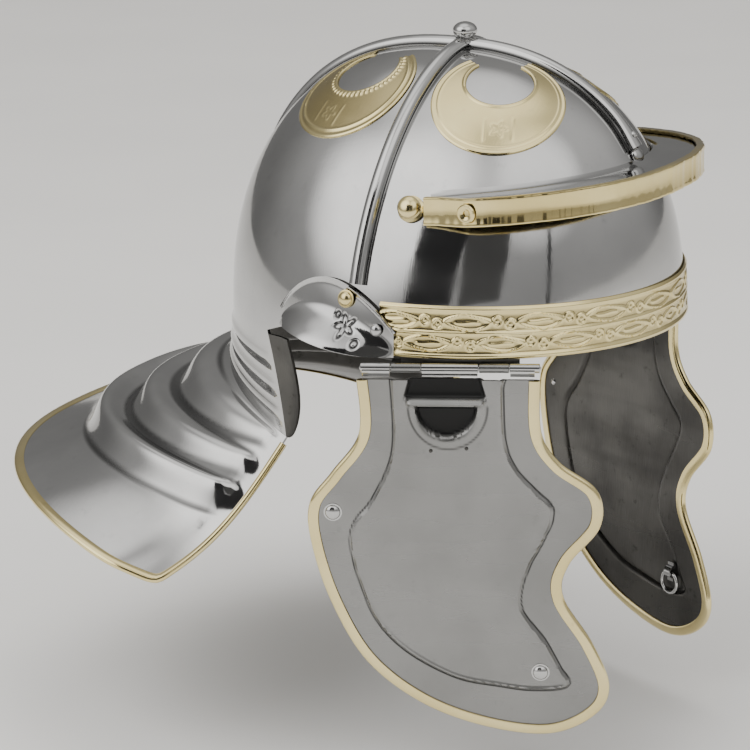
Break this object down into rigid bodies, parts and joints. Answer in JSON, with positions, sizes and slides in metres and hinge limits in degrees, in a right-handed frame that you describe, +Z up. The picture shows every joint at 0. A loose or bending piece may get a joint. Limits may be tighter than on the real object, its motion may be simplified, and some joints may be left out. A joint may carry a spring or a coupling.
{
  "type": "roman legionary helmet",
  "caption": "Steel legionary helmet with crossed crown ribs, brass-edged brow peak, embossed brow band, ridged neck guard and hinged cheek guards.",
  "frame": {"origin": "centre of the head opening, in the plane of the bowl's front rim", "axes": "+Z up toward the crown; the wearer faces -Y, so the wearer's right is at -X"},
  "size_m": [0.2988, 0.3484, 0.3228],
  "materials": {
    "polished_steel": "polished",
    "dull_steel": "dull",
    "brass": "polished"
  },
  "bodies": {
    "helmet": {"helmet_bowl": "polished_steel", "neck_guard_binding": "brass", "brow_peak": "polished_steel", "peak_strip": "brass", "brow_band": "brass", "fore_aft_rib": "polished_steel", "crown_rivet": "polished_steel", "rib_front_rivet": "polished_steel", "side_rib_right": "polished_steel", "crescent_front_right": "brass", "crescent_rear_right": "brass", "ear_guard_right": "dull_steel", "ear_guard_top_rivet_right": "brass", "ear_guard_front_rivet_right": "polished_steel", "peak_boss_right": "brass", "peak_ring_rivet_right": "brass", "cheek_hinge_leaf_right": "dull_steel", "cheek_hinge_pin_right": "dull_steel", "side_rib_left": "polished_steel", "crescent_front_left": "brass", "crescent_rear_left": "brass", "ear_guard_left": "dull_steel", "ear_guard_top_rivet_left": "brass", "ear_guard_front_rivet_left": "polished_steel", "peak_boss_left": "brass", "peak_ring_rivet_left": "brass", "cheek_hinge_leaf_left": "dull_steel", "cheek_hinge_pin_left": "dull_steel"},
    "cheek_guard_right": {"cheek_plate_right": "polished_steel", "cheek_binding_right": "brass", "cheek_rear_rivet_right": "polished_steel", "cheek_chin_rivet_right": "polished_steel", "tie_ring_right": "dull_steel"},
    "cheek_guard_left": {"cheek_plate_left": "polished_steel", "cheek_binding_left": "brass", "cheek_rear_rivet_left": "polished_steel", "cheek_chin_rivet_left": "polished_steel", "tie_ring_left": "dull_steel"}
  },
  "joints": [
    {"name": "cheek_guard_hinge_right", "type": "hinge", "parent": "helmet", "child": "cheek_guard_right", "pos_m": [-0.092, -0.0455, -0.0036], "axis": [-0.4226, 0.9063, 0], "range_deg": [-20, 100]},
    {"name": "cheek_guard_hinge_left", "type": "hinge", "parent": "helmet", "child": "cheek_guard_left", "pos_m": [0.092, -0.0455, -0.0036], "axis": [-0.4226, -0.9063, 0], "range_deg": [-20, 100]}
  ]
}
